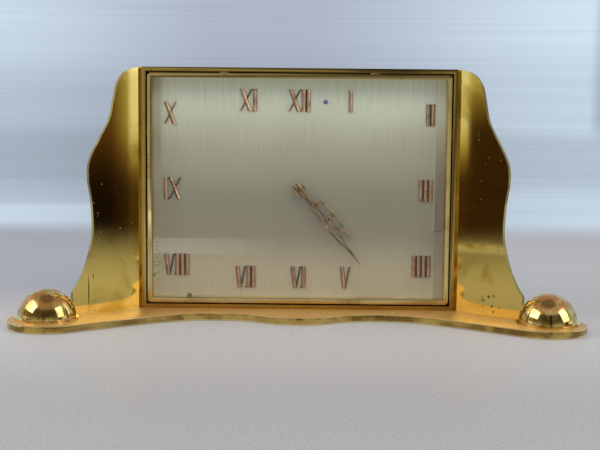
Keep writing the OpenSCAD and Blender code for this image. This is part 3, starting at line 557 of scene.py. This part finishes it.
# Room that the brass mirrors: a dim front, two pale sides, a bright ceiling
def room_colour(tree, aim, wall):
    sides = parts_of(tree, aim)
    across, height = sides["X"], sides["Z"]
    ahead = times(tree, sides["Y"], -1.0)
    aside = math_node(tree, "ABSOLUTE", across)
    front = times(
        tree, ramped(tree, height, *FRONT_HEIGHT), ramped(tree, aside, *FRONT_MIDDLE),
    )
    facing = ramped(tree, ahead, *FRONT_EDGE)
    level = between(tree, facing, room_sides(tree, across, ahead, height), front)
    tint = mixed(tree, ramped(tree, level, *DARK_TO_DIM), ROOM_DARK_TINT, ROOM_DIM_TINT)
    tint = mixed(tree, ramped(tree, level, *DIM_TO_PALE), tint, ROOM_PALE_TINT)
    tint = mixed(tree, facing, tint, ROOM_FRONT_TINT)
    room = mixed(tree, ramped(tree, ahead, *BEHIND_EDGE), scaled(tree, tint, level), wall)
    overhead = ramped(tree, height, *CEILING_MIDDLE_EDGE)
    ceiling = mixed(tree, overhead, CEILING, CEILING_MIDDLE)
    return mixed(tree, ramped(tree, height, *CEILING_EDGE), room, ceiling)


# World: the wall to the camera, the room to mirrors, and soft light to all else
def light_room():
    world = bpy.data.worlds.new("room")
    bpy.context.scene.world = world
    world.use_nodes = True
    tree = world.node_tree
    tree.nodes.clear()
    aim = add(tree, "ShaderNodeTexCoord").outputs["Generated"]
    rays = add(tree, "ShaderNodeLightPath")
    wall = wall_colour(tree, aim)
    mirrored = room_colour(tree, aim, wall)
    seen = larger(
        tree, rays.outputs["Is Camera Ray"], rays.outputs["Is Transmission Ray"],
    )
    height = parts_of(tree, aim)["Z"]
    sky = mixed(tree, ramped(tree, height, *AMBIENT_HEIGHT), AMBIENT_LOW, AMBIENT_HIGH)
    shown = mixed(tree, rays.outputs["Is Glossy Ray"], sky, mirrored)
    shown = mixed(tree, seen, shown, wall)
    glow = add(tree, "ShaderNodeBackground", None, {"Color": shown, "Strength": 1.0})
    output = add(tree, "ShaderNodeOutputWorld")
    tree.links.new(glow.outputs[0], output.inputs["Surface"])


# A large soft window, at an azimuth from straight ahead and a height, both in degrees
def soft_window(name, azimuth, elevation, away, width, height, brightness, colour):
    lamp = bpy.data.lights.new(name, "AREA")
    lamp.shape = "RECTANGLE"
    lamp.size = width
    lamp.size_y = height
    lamp.energy = brightness * math.pi * width * height
    lamp.color = colour
    turn, rise = math.radians(azimuth), math.radians(elevation)
    light = bpy.data.objects.new(name, lamp)
    light.location = Vector((
        away * math.cos(rise) * math.sin(turn),
        -away * math.cos(rise) * math.cos(turn),
        away * math.sin(rise),
    ))
    light.rotation_mode = "QUATERNION"
    light.rotation_quaternion = (-light.location).to_track_quat("-Z", "Y")
    light.visible_camera = False
    bpy.context.scene.collection.objects.link(light)
    return light


# Two windows, a ceiling lamp, and four pale sheets that the glass mirrors as a fading band
def light_clock():
    soft_window(
        "window_left", azimuth=-72, elevation=36, away=1.2, width=0.90, height=0.62,
        brightness=2.6, colour=(1.0, 0.98, 0.94),
    )
    soft_window(
        "window_right", azimuth=66, elevation=26, away=1.2, width=0.62, height=0.80,
        brightness=2.4, colour=(0.97, 0.98, 1.0),
    )
    lamp = soft_window(
        "ceiling_lamp", azimuth=8, elevation=47, away=1.3, width=0.70, height=0.50,
        brightness=3.0, colour=(1.0, 0.99, 0.96),
    )
    lamp.visible_glossy = False
    left_end = SHEETS_LEFT_END
    for name, right_end, brightness in (
        ("pale_sheet_a", -0.074, 0.95), ("pale_sheet_b", -0.056, 0.72),
        ("pale_sheet_c", -0.038, 0.46), ("pale_sheet_d", -0.018, 0.22),
    ):
        sheet = soft_window(
            name, azimuth=0, elevation=90, away=SHEETS_LIFT, width=right_end - left_end,
            height=SHEETS_DEPTH, brightness=brightness, colour=(1.0, 1.0, 1.0),
        )
        sheet.location.x = (left_end + right_end) / 2
        sheet.location.y = SHEETS_Y
        sheet.rotation_quaternion = (0.0, 1.0, 0.0, 0.0)
        left_end = right_end


# A CAD piece's own mesh, copied and with its doubled corners joined
def welded(name):
    data = nodes[name].data.copy()
    data.materials.clear()
    mesh = bmesh.new()
    mesh.from_mesh(data)
    bmesh.ops.remove_doubles(mesh, verts=mesh.verts, dist=SAME_POINT)
    return data, mesh


# A copy that stands for a CAD piece, with its flat sides made whole
def copied(name):
    data, mesh = welded(name)
    bmesh.ops.dissolve_limit(
        mesh, angle_limit=NEARLY_FLAT, verts=mesh.verts, edges=mesh.edges,
    )
    mesh.to_mesh(data)
    mesh.free()
    piece = bpy.data.objects.new(name + "_polished", data)
    bpy.context.scene.collection.objects.link(piece)
    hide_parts(name)
    return piece


# A copy that rides a body, with its edges broken to a small radius
def softened(name, body, width, segments=2):
    piece = copied(name)
    for polygon in piece.data.polygons:
        polygon.use_smooth = True
    edge = piece.modifiers.new("broken edge", "BEVEL")
    edge.width = width
    edge.segments = segments
    edge.limit_method = "ANGLE"
    edge.angle_limit = SHARP_EDGE
    edge.harden_normals = True
    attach(piece, body)
    return piece


# Direction that a wing's mirror face looks in, with the bow's turn eased as by hand polishing
def mirror_normal(corner, axis):
    out = corner.co - axis
    turn = math.atan2(abs(out.x), -out.y)
    turn = WING_RIM_TURN + WING_EASE * (turn - WING_RIM_TURN)
    return Vector((math.copysign(math.sin(turn), out.x), -math.cos(turn), 0.0))


# The two bowed faces of a wing, and the directions that their corners look in
def bowed_faces(mesh, axis):
    nearly_square = math.cos(math.radians(3))
    faces = set()
    normals = {}
    for face in mesh.faces:
        radial = face.calc_center_median() - axis
        radial.z = 0.0
        if abs(face.normal.dot(radial.normalized())) > nearly_square:
            faces.add(face.index)
            facing = 1.0 if face.normal.dot(radial) > 0.0 else -1.0
            for corner in face.verts:
                normals[corner.index] = facing * mirror_normal(corner, axis)
    return faces, normals


# One direction for each corner of each face: bowed, flat, or rounded at the rim
def corner_normals(mesh, bowed):
    flat_area = (0.5 * MM) ** 2
    normals = []
    for face in mesh.faces:
        for corner in face.verts:
            if corner.index in bowed:
                normals.append(bowed[corner.index])
            elif face.calc_area() > flat_area:
                normals.append(face.normal.copy())
            else:
                normals.append(corner.normal.copy())
    return normals


# A wing copied with a rounded rim, and with mirror faces that reflect without facets
def polished_wing(name, side):
    data, mesh = welded(name)
    sharp = [
        edge for edge in mesh.edges
        if edge.is_manifold and edge.calc_face_angle() > SHARP_EDGE
    ]
    bmesh.ops.bevel(
        mesh, geom=sharp, offset=WING_RIM, offset_type="OFFSET", segments=2, profile=0.5,
        affect="EDGES", clamp_overlap=True,
    )
    mesh.normal_update()
    mesh.verts.index_update()
    mesh.faces.index_update()
    axis = Vector((
        side * (CASE_HALF + WING_BOW * math.sin(WING_FLARE)),
        WING_ROOT_Y + WING_BOW * math.cos(WING_FLARE),
        0.0,
    ))
    mirror_faces, bowed = bowed_faces(mesh, axis)
    normals = corner_normals(mesh, bowed)
    for face in mesh.faces:
        face.smooth = True
        face.material_index = 0 if face.index in mirror_faces else 1
    mesh.to_mesh(data)
    mesh.free()
    data.normals_split_custom_set(normals)
    piece = bpy.data.objects.new(name + "_polished", data)
    bpy.context.scene.collection.objects.link(piece)
    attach(piece, "clock_case")
    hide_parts(name)
    return piece


# Two scratches low on the left wing and a cluster of pits low on the right one
def wing_marks(tree, place):
    long_scratch = spot(
        tree, place, centre=(-90.8, WING_FACE, 12.9), squash=(1.0, 0.0, 0.035),
        inner=0.16, outer=0.30,
    )
    short_scratch = spot(
        tree, place, centre=(-89.0, WING_FACE, 19.5), squash=(1.0, 0.0, 0.12),
        inner=0.10, outer=0.24,
    )
    cluster = spot(
        tree, place, centre=(84.8, WING_FACE, 8.6), squash=(1.0, 0.0, 0.8), inner=2.2, outer=4.6,
    )
    pits = times(tree, specked(tree, place, scale=480.0, size=0.34, share=0.5), cluster)
    return larger(tree, long_scratch, larger(tree, short_scratch, pits))


# Wings: mirror polish with stained clouds, and a duller rim
def finish_wings():
    mark_strength = 0.85
    brass, tree, surface, place = polished_brass(
        "wing brass", BRASS_CLEAN, BRASS_STAINED, rough=0.06, stain_start=0.48, stain_full=0.72,
        speck_share=0.05, dent=0.03,
    )
    overlay(tree, surface, times(tree, wing_marks(tree, place), mark_strength), PIT_BROWN)
    rim, *_ = polished_brass(
        "wing rim brass", (0.52, 0.40, 0.13, 1), (0.28, 0.18, 0.06, 1), rough=0.26,
        stain_start=0.42, stain_full=0.60, speck_share=0.12,
    )
    for name, side in (("wing_left", -1), ("wing_right", 1)):
        wing = polished_wing(name, side)
        wing.data.materials.append(brass)
        wing.data.materials.append(rim)


# Case, bezel, the glass's sleeve and the back cover
def finish_case():
    case_brass, *_ = polished_brass(
        "case brass", (0.61, 0.46, 0.155, 1), (0.45, 0.31, 0.09, 1), rough=0.14,
        stain_scale=45.0, stain_start=0.40, stain_full=0.80, speck_share=0.08,
    )
    bezel_brass, *_ = polished_brass(
        "bezel brass", (0.92, 0.74, 0.36, 1), (0.58, 0.38, 0.13, 1), rough=0.15,
        stain_start=0.48, stain_full=0.80, speck_share=0.06,
    )
    case = softened("case_body", "clock_case", 0.35 * MM)
    case.data.materials.append(case_brass)
    bezel = softened("bezel", "clock_case", 0.85 * MM, segments=4)
    bezel.data.materials.append(bezel_brass)
    assign(["glass_retainer"], bezel_brass)
    assign(["back_cover"], case_brass)


# Base: satin copper-coloured top, gold edge with a painted highlight along its rounded top and
# bottom
def finish_base():
    edge_highlight = 0.85
    satin_rough = 0.42
    satin_metal = 0.35
    material, tree, surface, place = polished_brass(
        "base brass", (0.70, 0.51, 0.16, 1), (0.32, 0.19, 0.05, 1), rough=0.15,
        stain_start=0.40, stain_full=0.62, speck_share=0.14,
    )
    height = parts_of(tree, place)["Z"]
    on_top = ramped(tree, height, BASE_TOP - 0.25 * MM, BASE_TOP - 0.03 * MM)
    mottle = noise(tree, place, Scale=1300.0, Detail=3.0, Roughness=0.65)
    copper = mixed(tree, ramped(tree, mottle, 0.36, 0.64), COPPER_DARK, COPPER_PALE)
    # Painted highlight: the edge paler near its top and bottom than in its middle
    off_middle = math_node(tree, "ABSOLUTE", math_node(tree, "SUBTRACT", height, BASE_TOP / 2))
    rounded = ramped(tree, off_middle, 0.85 * MM, 1.35 * MM)
    overlay(tree, surface, times(tree, rounded, edge_highlight), EDGE_PALE)
    overlay(tree, surface, on_top, copper)
    polish = surface.inputs["Roughness"].links[0].from_socket
    tree.links.new(between(tree, on_top, polish, satin_rough), surface.inputs["Roughness"])
    metal = ramped(tree, on_top, 0.0, 1.0, 1.0, satin_metal)
    tree.links.new(metal, surface.inputs["Metallic"])
    bump(tree, surface, mottle, strength=0.16, distance=0.08 * MM)
    base = softened("base_plate", "clock_case", 0.6 * MM, segments=3)
    base.data.materials.append(material)


# Half balls: mirror brass, worn to copper on their crowns, with a streak on the left one
def finish_domes():
    streak_strength = 0.8
    worn_dullness = 0.16
    material, tree, surface, place = polished_brass(
        "dome brass", (0.88, 0.69, 0.27, 1), (0.50, 0.31, 0.09, 1), rough=0.07,
        stain_scale=200.0, stain_start=0.44, stain_full=0.60, speck_share=0.30, dent=0.05,
    )
    height = parts_of(tree, place)["Z"]
    patches = cloudy(tree, place, scale=240.0, start=0.42, full=0.56)
    crown = times(tree, patches, ramped(tree, height, 8.5 * MM, 12.5 * MM))
    streak = spot(
        tree, place, centre=(-105.2, -43.0, 9.5), squash=(1.0, 0.0, 0.25), inner=0.6, outer=1.9,
    )
    worn = larger(tree, crown, times(tree, streak, streak_strength))
    overlay(tree, surface, worn, CROWN_COPPER)
    polish = surface.inputs["Roughness"].links[0].from_socket
    dull = math_node(tree, "MULTIPLY_ADD", worn, worn_dullness, polish)
    tree.links.new(dull, surface.inputs["Roughness"])
    assign(["dome_left", "dome_right"], material)


# Dial's ground: paler towards the top and the foot and darker in the middle as painted light and
# reflection, finely grained and brushed upwards
def dial_ground(tree, place, height, grain):
    unevenness = 10.0 * MM
    uneven = noise(tree, place, Scale=28.0, Detail=2.0)
    level = math_node(tree, "MULTIPLY_ADD", uneven, unevenness, height)
    # Painted light and reflection: the tone rises towards the top and the foot
    colour = mixed(tree, ramped(tree, level, 51 * MM, 89 * MM), DIAL_MIDDLE, DIAL_UPPER)
    colour = mixed(tree, ramped(tree, level, 79 * MM, 107 * MM), colour, DIAL_TOP_EDGE)
    colour = mixed(tree, ramped(tree, level, 44 * MM, 20 * MM), colour, DIAL_LOWER)
    colour = mixed(tree, ramped(tree, grain, 0.55, 0.8, 0.0, 0.18), colour, DIAL_GRAIN)
    brushed = grained(tree, place, 2200.0, 1.0, 45.0)
    return mixed(tree, ramped(tree, brushed, 0.46, 0.66, 0.0, 0.16), colour, DIAL_GRAIN)


# Dial's margins: a strip of painted shade at each side, and a painted highlight line beside the
# right one
def dial_margins(tree, across, height, colour):
    right_strength = 0.55
    left_strength = 0.42
    line_strength = 0.5
    above_tick = (37.8 * MM, 38.6 * MM)
    right = times(
        tree, ramped(tree, across, 61.3 * MM, 61.9 * MM),
        ramped(tree, height, 100 * MM, 52 * MM, 0.06, 1.0),
    )
    right = times(tree, right, ramped(tree, height, *above_tick, 0.55, 1.0))
    left = times(
        tree, ramped(tree, across, -60.6 * MM, -63.8 * MM),
        ramped(tree, height, 52 * MM, 80 * MM),
    )
    # Painted shade along both side margins
    painted_margin_shade = larger(
        tree, times(tree, right, right_strength), times(tree, left, left_strength),
    )
    colour = mixed(tree, painted_margin_shade, colour, DIAL_PAINTED_SHADE)
    # Painted highlight: a pale line beside the right strip, above the tick
    line = times(
        tree, ramped(tree, across, 60.9 * MM, 61.2 * MM),
        ramped(tree, across, 61.6 * MM, 61.3 * MM),
    )
    line = times(tree, line, ramped(tree, height, *above_tick))
    return mixed(tree, times(tree, line, line_strength), colour, DIAL_UPPER)


# Dial's marks: a tick and dots of corrosion, a green spot, and a blue one with a faint trace
def dial_marks(tree, place, colour):
    ink_strength = 0.9
    trace_strength = 0.35
    tick = spot(
        tree, place, centre=(63.1, DIAL_FACE, 38.0), squash=(0.14, 0.0, 1.0),
        inner=0.14, outer=0.30,
    )
    cluster = spot(
        tree, place, centre=(-64.6, DIAL_FACE, 23.5), squash=(1.0, 0.0, 0.2),
        inner=1.6, outer=3.4,
    )
    dots = times(tree, specked(tree, place, scale=900.0, size=0.28, share=0.42), cluster)
    green = spot(
        tree, place, centre=(-49.5, DIAL_FACE, 7.9), squash=(0.8, 0.0, 1.0), inner=0.6, outer=1.2,
    )
    ink = spot(
        tree, place, centre=(11.7, DIAL_FACE, 96.0), squash=(1.0, 0.0, 1.0),
        inner=0.85, outer=1.25,
    )
    trace = spot(
        tree, place, centre=(13.9, DIAL_FACE, 95.9), squash=(1.0, 0.0, 1.0), inner=0.2, outer=0.7,
    )
    ink = larger(tree, ink, times(tree, trace, trace_strength))
    colour = mixed(tree, larger(tree, tick, dots), colour, DIAL_TICK)
    colour = mixed(tree, green, colour, DIAL_GREEN)
    return mixed(tree, times(tree, ink, ink_strength), colour, DIAL_INK)


# Dial: silvered plate in warm tones, with painted light and reflection in its ground and painted
# shade at its margins
def finish_dial():
    material, tree, surface, place = new_material("silvered dial")
    sides = parts_of(tree, place)
    across, height = sides["X"], sides["Z"]
    grain = noise(tree, place, Scale=2600.0, Detail=2.0)
    colour = dial_ground(tree, place, height, grain)
    colour = dial_margins(tree, across, height, colour)
    colour = dial_marks(tree, place, colour)
    tree.links.new(colour, surface.inputs["Base Color"])
    surface.inputs["Metallic"].default_value = 0.35
    surface.inputs["Roughness"].default_value = 0.5
    bump(tree, surface, grain, strength=0.08, distance=0.03 * MM)
    assign(["dial"], material)


# Rose gilt: bright on the ridges, nearly black down in the joints, as dark joints and painted
# shade
def rose_gilt(name, bright, dull, deep_start, deep_full):
    material, tree, surface, place = new_material(name)
    uneven = cloudy(tree, place, scale=260.0, start=0.40, full=0.70)
    colour = mixed(tree, uneven, bright, dull)
    depth = parts_of(tree, place)["Y"]
    # Darker with depth: dark joints together with painted shade
    colour = mixed(tree, ramped(tree, depth, deep_start, deep_full), colour, GILT_JOINT_AND_SHADE)
    tree.links.new(colour, surface.inputs["Base Color"])
    surface.inputs["Metallic"].default_value = 1.0
    gloss = ramped(tree, uneven, 0.0, 1.0, 0.30, 0.42)
    tree.links.new(gloss, surface.inputs["Roughness"])
    scuffs = noise(tree, place, Scale=1500.0)
    bump(tree, surface, scuffs, strength=0.10, distance=0.04 * MM)
    return material, tree, surface, place


# Numerals: gilt ridges that darken down to their eaves, partly dark edges and partly painted shade
def finish_numerals():
    material, *_ = rose_gilt(
        "rose gilt numerals", (0.60, 0.35, 0.20, 1), (0.36, 0.18, 0.09, 1),
        NUMERAL_EAVE - 0.24 * MM, NUMERAL_EAVE + 0.02 * MM,
    )
    assign(["numerals_top", "numerals_right", "numerals_bottom", "numerals_left"], material)


# Hands: pierced gilt with dark lines of painted shade drawn along their length, and painted shade
# behind their fronts
def finish_hands():
    for name, body, front in (
        ("minute_hand", "minute_set", MINUTE_FRONT), ("hour_hand", "hour_set", HOUR_FRONT),
    ):
        material, tree, surface, place = rose_gilt(
            "rose gilt " + name, (0.72, 0.43, 0.19, 1), (0.42, 0.23, 0.09, 1),
            front + 0.05 * MM, front + 0.30 * MM,
        )
        along = turned(tree, place, axis=(0.0, 1.0, 0.0), angle=HANDS_LEAN)
        lines = grained(tree, along, 1700.0, 1.0, 60.0)
        # Painted shade: dark lines along each hand
        overlay(tree, surface, ramped(tree, lines, 0.45, 0.55, 0.0, 0.92), HANDS_SHADE)
        hand = softened(name, body, 0.24 * MM)
        hand.data.materials.append(material)


# Glass: clear, and open to shadow rays and soft light
def finish_glass():
    material, tree, surface, *_ = new_material("clear glass")
    surface.inputs["Base Color"].default_value = (0.97, 0.99, 0.98, 1)
    surface.inputs["Roughness"].default_value = 0.0
    surface.inputs["IOR"].default_value = 1.45
    surface.inputs["Transmission Weight"].default_value = 1.0
    rays = add(tree, "ShaderNodeLightPath")
    passing = larger(tree, rays.outputs["Is Shadow Ray"], rays.outputs["Is Diffuse Ray"])
    clear = add(tree, "ShaderNodeBsdfTransparent")
    mix = add(tree, "ShaderNodeMixShader", None, {
        0: passing, 1: surface.outputs[0], 2: clear.outputs[0],
    })
    tree.links.new(mix.outputs[0], tree.nodes["Material Output"].inputs["Surface"])
    assign(["glass"], material)


# Click spring: cut across in short lengths from its root to its tip
def bending_spring(material):
    spring = copied("click_spring")
    spring.data.materials.append(material)
    mesh = bmesh.new()
    mesh.from_mesh(spring.data)
    for step in range(1, SPRING_LENGTHS):
        bmesh.ops.bisect_plane(
            mesh, geom=mesh.verts[:] + mesh.edges[:] + mesh.faces[:],
            plane_co=SPRING_ROOT.lerp(SPRING_TIP, step / SPRING_LENGTHS),
            plane_no=SPRING_TIP - SPRING_ROOT,
        )
    mesh.to_mesh(spring.data)
    mesh.free()
    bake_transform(spring)


# Movement: brass, raw brass, bright and blued steel, with the arbor's front end darkened
def finish_movement():
    brass, *_ = polished_brass(
        "movement brass", (0.76, 0.58, 0.22, 1), (0.50, 0.34, 0.12, 1), rough=0.3,
    )
    dark, *_ = polished_brass(
        "raw brass", (0.45, 0.32, 0.13, 1), (0.28, 0.18, 0.07, 1), rough=0.4,
    )
    steel, steel_tree, steel_surface, steel_place = polished_brass(
        "bright steel", (0.55, 0.56, 0.57, 1), (0.35, 0.34, 0.33, 1), rough=0.25,
    )
    blued, *_ = polished_brass(
        "blued steel", (0.05, 0.08, 0.22, 1), (0.06, 0.05, 0.12, 1), rough=0.25,
    )
    depth = parts_of(steel_tree, steel_place)["Y"]
    front_end = ramped(steel_tree, depth, 4.0 * MM, 3.0 * MM)
    overlay(steel_tree, steel_surface, front_end, ARBOR_END)
    by_slot = {
        "movement_brass": brass, "dark_brass": dark, "bright_steel": steel, "blued_steel": blued,
    }
    for part in frame["record"]["subparts"]:
        if part["material_slot"] in by_slot:
            assign([part["node"]], by_slot[part["material_slot"]])
    bending_spring(blued)


aim_camera()
lay_table()
light_room()
light_clock()
finish_wings()
finish_case()
finish_base()
finish_domes()
finish_dial()
finish_numerals()
finish_hands()
finish_glass()
finish_movement()
